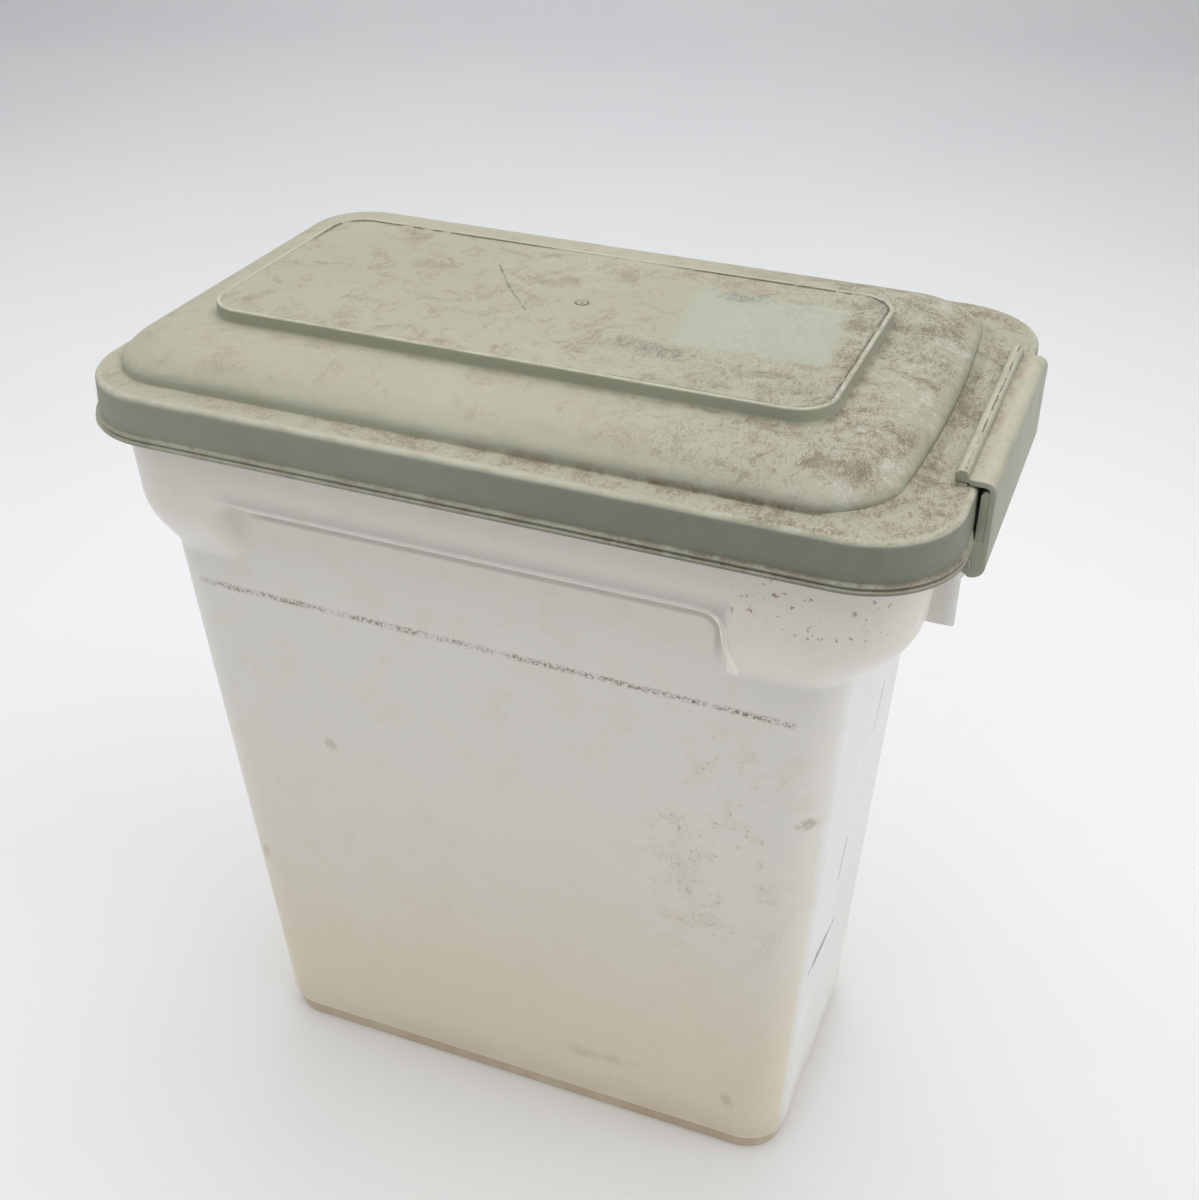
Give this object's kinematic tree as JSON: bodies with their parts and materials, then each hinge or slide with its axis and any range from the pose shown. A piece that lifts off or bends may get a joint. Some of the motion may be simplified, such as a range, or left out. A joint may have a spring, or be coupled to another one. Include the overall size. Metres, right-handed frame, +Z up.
{
  "type": "pet food bin",
  "caption": "Tapered translucent storage bin for dry pet food with a hinged airtight lid, a domed lid top and a full-width swinging latch.",
  "frame": {"origin": "on the ground, under the middle of the lid's footprint", "axes": "+Z up, +X towards the latch end, +Y along the width"},
  "size_m": [0.431, 0.278, 0.4565],
  "materials": {
    "tub_plastic": "translucent milky, worn and dusty",
    "lid_plastic": "sage green, dusty and scuffed",
    "seal_rubber": "soft pale grey",
    "latch_plastic": "sage green, scuffed",
    "pin_steel": "drawn wire"
  },
  "bodies": {
    "tub": {"tub": "tub_plastic", "latch_pins": "pin_steel", "lid_pins": "pin_steel"},
    "lid": {"lid": "lid_plastic", "seal": "seal_rubber"},
    "latch": {"latch": "latch_plastic"}
  },
  "joints": [
    {"name": "lid_hinge", "type": "hinge", "parent": "tub", "child": "lid", "pos_m": [-0.2112, 0, 0.404], "axis": [0, -1, 0], "range_deg": [0, 105]},
    {"name": "latch_hinge", "type": "hinge", "parent": "tub", "child": "latch", "pos_m": [0.205, 0, 0.399], "axis": [0, 1, 0], "range_deg": [0, 90]}
  ]
}
